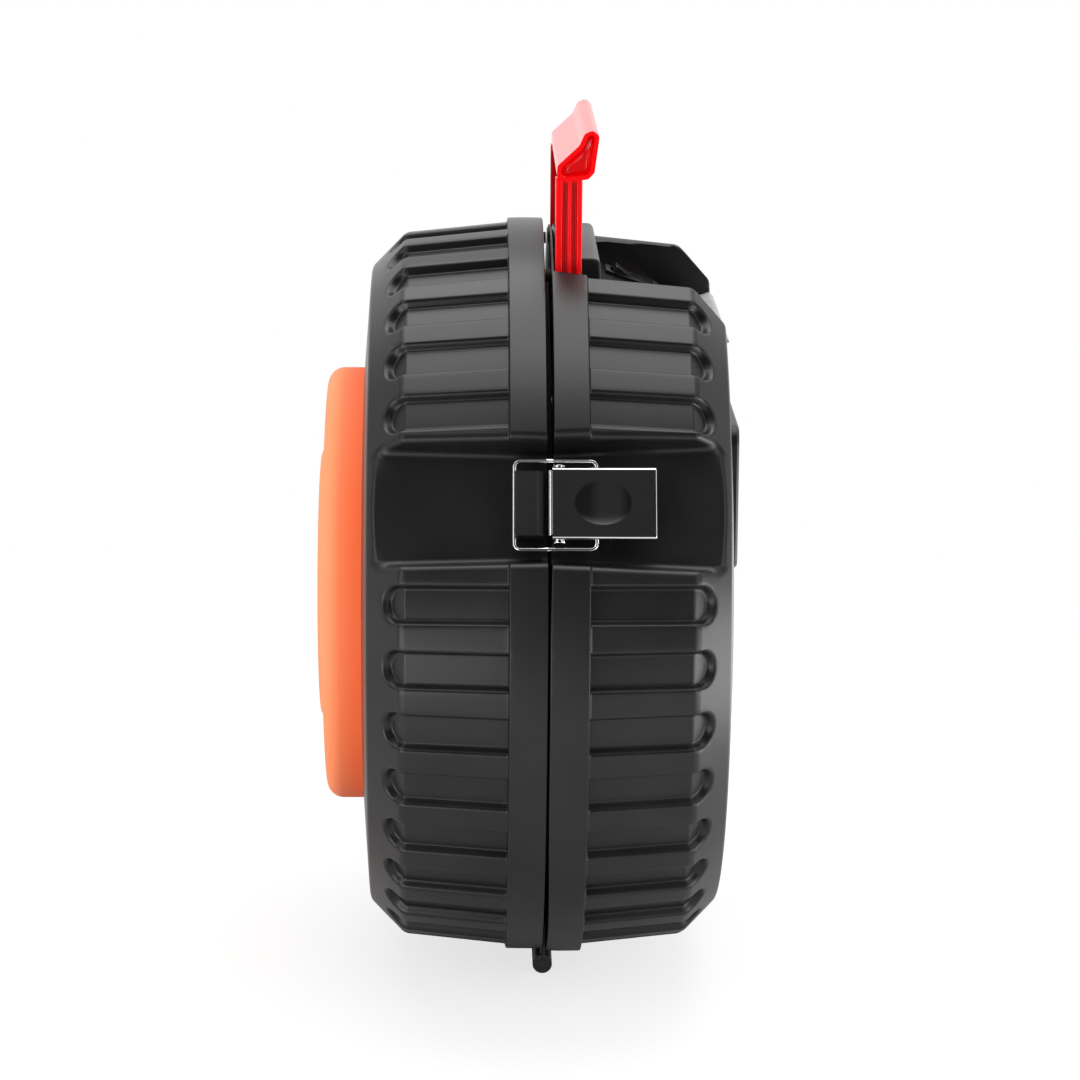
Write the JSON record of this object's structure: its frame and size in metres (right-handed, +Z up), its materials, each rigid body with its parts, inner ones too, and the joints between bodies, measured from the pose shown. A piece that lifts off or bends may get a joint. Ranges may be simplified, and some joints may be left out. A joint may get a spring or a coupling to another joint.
{
  "type": "jump starter pack",
  "caption": "Wheel-shaped jump starter case in two hinged halves with a storage lid, draw latches, a console recess and a folding carry handle.",
  "frame": {"origin": "centre of the bounding box on the base plane, with the pack standing on its rim", "axes": "+Z up through the handle, +X from the storage lid towards the power half, Y across the wheel"},
  "size_m": [0.167, 0.302, 0.3495],
  "materials": {
    "black_shell": "fine satin grain",
    "red_handle": "glossy",
    "orange_hub": "matte",
    "chrome_latch": "bright plated",
    "black_trim": "matte",
    "grey_trim": "matte",
    "black_rubber": "matte",
    "zinc_steel": "zinc plated",
    "black_steel": "black enamel",
    "nickel_brass": "turned",
    "switch_black": "glossy",
    "green_lens": "clear tinted",
    "battery_case": "satin",
    "board_green": "solder mask",
    "component_black": "moulded"
  },
  "bodies": {
    "power_half": {"power_shell": "black_shell", "console_panel": "black_trim", "switch_bezel": "black_trim", "charge_lamps": "green_lens", "accessory_socket": "black_trim", "shoulder_plate": "grey_trim", "handle_block": "black_trim", "handle_pins": "zinc_steel", "face_plate": "black_trim", "inner_deck": "black_trim", "deck_screws": "zinc_steel", "output_socket_negative": "nickel_brass", "output_socket_positive": "nickel_brass", "seal_gasket": "black_rubber", "rim_buffers": "black_rubber", "battery": "battery_case", "battery_terminals": "nickel_brass", "busbar_negative": "nickel_brass", "busbar_positive": "nickel_brass", "battery_strap": "zinc_steel", "strap_screws": "zinc_steel", "control_board": "board_green", "board_components": "component_black", "board_screws": "zinc_steel", "hinge_leaf_power": "black_steel", "hinge_pin": "black_steel", "hinge_rivets_power": "zinc_steel", "latch_base_near": "zinc_steel", "latch_base_far": "zinc_steel", "lever_pin_near": "chrome_latch", "lever_pin_far": "chrome_latch", "base_rivets_near": "zinc_steel", "base_rivets_far": "zinc_steel"},
    "storage_lid": {"storage_shell": "black_shell", "hub_cover": "orange_hub", "hub_screws": "zinc_steel", "hinge_leaf_storage": "black_steel", "hinge_rivets_storage": "zinc_steel", "latch_strike_near": "black_trim", "latch_strike_far": "black_trim", "strike_rivets_near": "zinc_steel", "strike_rivets_far": "zinc_steel"},
    "handle": {"carry_handle": "red_handle"},
    "lever_near": {"latch_lever_near": "chrome_latch"},
    "lever_far": {"latch_lever_far": "chrome_latch"},
    "bail_near": {"latch_bail_near": "chrome_latch"},
    "bail_far": {"latch_bail_far": "chrome_latch"},
    "rocker": {"power_rocker": "switch_black"},
    "button": {"test_button": "black_trim"}
  },
  "joints": [
    {"name": "lid_hinge", "type": "hinge", "parent": "power_half", "child": "storage_lid", "pos_m": [0.0075, 0, 0.004], "axis": [0, -1, 0], "range_deg": [0, 170]},
    {"name": "handle_fold", "type": "hinge", "parent": "power_half", "child": "handle", "pos_m": [0.0156, 0, 0.2842], "axis": [0, 1, 0], "range_deg": [0, 90]},
    {"name": "latch_lever_near_pivot", "type": "hinge", "parent": "power_half", "child": "lever_near", "pos_m": [0.0111, -0.12654, 0.21656], "axis": [0, -0.4305, -0.9026], "range_deg": [0, 100]},
    {"name": "latch_lever_far_pivot", "type": "hinge", "parent": "power_half", "child": "lever_far", "pos_m": [0.0111, 0.12654, 0.21656], "axis": [0, -0.4305, 0.9026], "range_deg": [0, 100]},
    {"name": "latch_bail_near_pivot", "type": "hinge", "parent": "lever_near", "child": "bail_near", "pos_m": [0.0253, -0.126, 0.2163], "axis": [0, -0.4305, -0.9026], "range_deg": [-65, 0]},
    {"name": "latch_bail_far_pivot", "type": "hinge", "parent": "lever_far", "child": "bail_far", "pos_m": [0.0253, 0.126, 0.2163], "axis": [0, -0.4305, 0.9026], "range_deg": [-65, 0]},
    {"name": "power_switch", "type": "hinge", "parent": "power_half", "child": "rocker", "pos_m": [0.04284, 0.032, 0.27582], "axis": [0, -1, 0], "range_deg": [0, 18]},
    {"name": "test_button_press", "type": "slide", "parent": "power_half", "child": "button", "axis": [-0.3319, 0, -0.9433], "range_m": [0, 0.0015], "stiffness_N_per_m": 400, "springref_m": -0.001}
  ],
  "couplings": [
    {"joint": "latch_bail_near_pivot", "follows": "latch_lever_near_pivot", "ratio": -0.65},
    {"joint": "latch_bail_far_pivot", "follows": "latch_lever_far_pivot", "ratio": -0.65}
  ]
}
